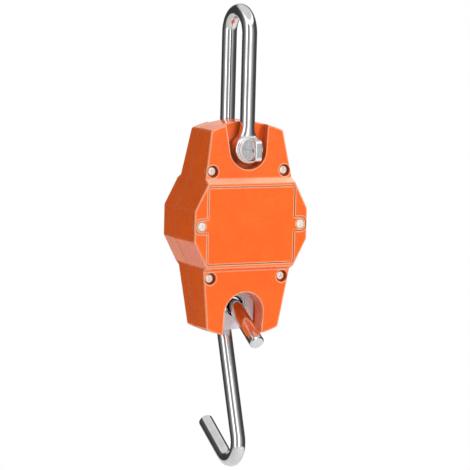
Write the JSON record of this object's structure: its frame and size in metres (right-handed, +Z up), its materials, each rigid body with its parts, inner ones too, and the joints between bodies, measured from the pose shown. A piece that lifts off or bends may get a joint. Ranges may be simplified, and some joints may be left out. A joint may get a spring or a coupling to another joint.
{
  "type": "hanging crane scale",
  "caption": "Compact hanging crane scale: a bow shackle above, a weighing case around a load cell, and an S-hook below for the load.",
  "frame": {"origin": "suspension seat: the inside top of the shackle's crown, where it rests on the crane hook that carries it", "axes": "+Z up along the load line, -Y towards the battery cover, +Y towards the display, +X to the right seen from the battery cover"},
  "size_m": [0.102, 0.096, 0.3781],
  "materials": {
    "polished_steel": "polished",
    "pin_steel": "polished",
    "case_orange": "gloss",
    "cover_orange": "gloss",
    "black_rubber": "matte",
    "screw_steel": "satin",
    "black_plastic": "matte",
    "battery_can": "satin",
    "contact_nickel": "polished",
    "cell_nickel": "satin",
    "gauge_foil": "matte",
    "potting_grey": "matte",
    "bush_steel": "polished",
    "hook_steel": "polished",
    "board_green": "satin",
    "chip_black": "matte",
    "switch_black": "matte",
    "backlight_white": "matte",
    "panel_glass": "gloss",
    "window_clear": "gloss",
    "key_rubber": "satin",
    "lead_grey": "satin",
    "lead_red": "satin"
  },
  "bodies": {
    "shackle": {"shackle_bow": "polished_steel", "shackle_pin": "pin_steel"},
    "case": {"rear_shell": "case_orange", "front_shell": "case_orange", "battery_cover": "cover_orange", "case_gasket": "black_rubber", "battery_cover_seal": "black_rubber", "case_screws": "screw_steel", "cover_screws": "screw_steel", "load_cell_screws": "screw_steel", "board_screws": "screw_steel", "battery_tray": "black_plastic", "battery_cell_1": "battery_can", "battery_cell_2": "battery_can", "battery_cell_3": "battery_can", "battery_contacts": "contact_nickel", "contact_springs": "contact_nickel", "load_cell": "cell_nickel", "strain_gauges": "gauge_foil", "gauge_cover": "potting_grey", "main_board": "board_green", "board_components": "chip_black", "key_switches": "switch_black", "display_backlight": "backlight_white", "display_panel": "panel_glass", "display_window": "window_clear", "load_cell_lead": "lead_grey", "battery_lead": "lead_red"},
    "bush": {"eye_bush": "bush_steel", "bush_ring": "bush_steel"},
    "hook": {"s_hook": "hook_steel"},
    "key_power_body": {"key_power": "key_rubber"},
    "key_hold_body": {"key_hold": "key_rubber"},
    "key_unit_body": {"key_unit": "key_rubber"}
  },
  "joints": [
    {"name": "case_swing", "type": "hinge", "parent": "shackle", "child": "case", "pos_m": [0, 0, -0.1035], "axis": [0, 1, 0], "range_deg": [-25, 25]},
    {"name": "hook_swing", "type": "hinge", "parent": "case", "child": "bush", "pos_m": [0, 0, -0.2326], "axis": [0, 1, 0], "range_deg": [-20, 20]},
    {"name": "hook_rock", "type": "hinge", "parent": "bush", "child": "hook", "pos_m": [0, 0, -0.2489], "axis": [1, 0, 0], "range_deg": [-18, 18]},
    {"name": "key_power_press", "type": "slide", "parent": "case", "child": "key_power_body", "axis": [0, -1, 0], "range_m": [0, 0.0008], "stiffness_N_per_m": 1200, "springref_m": -0.0002},
    {"name": "key_hold_press", "type": "slide", "parent": "case", "child": "key_hold_body", "axis": [0, -1, 0], "range_m": [0, 0.0008], "stiffness_N_per_m": 1200, "springref_m": -0.0002},
    {"name": "key_unit_press", "type": "slide", "parent": "case", "child": "key_unit_body", "axis": [0, -1, 0], "range_m": [0, 0.0008], "stiffness_N_per_m": 1200, "springref_m": -0.0002}
  ]
}
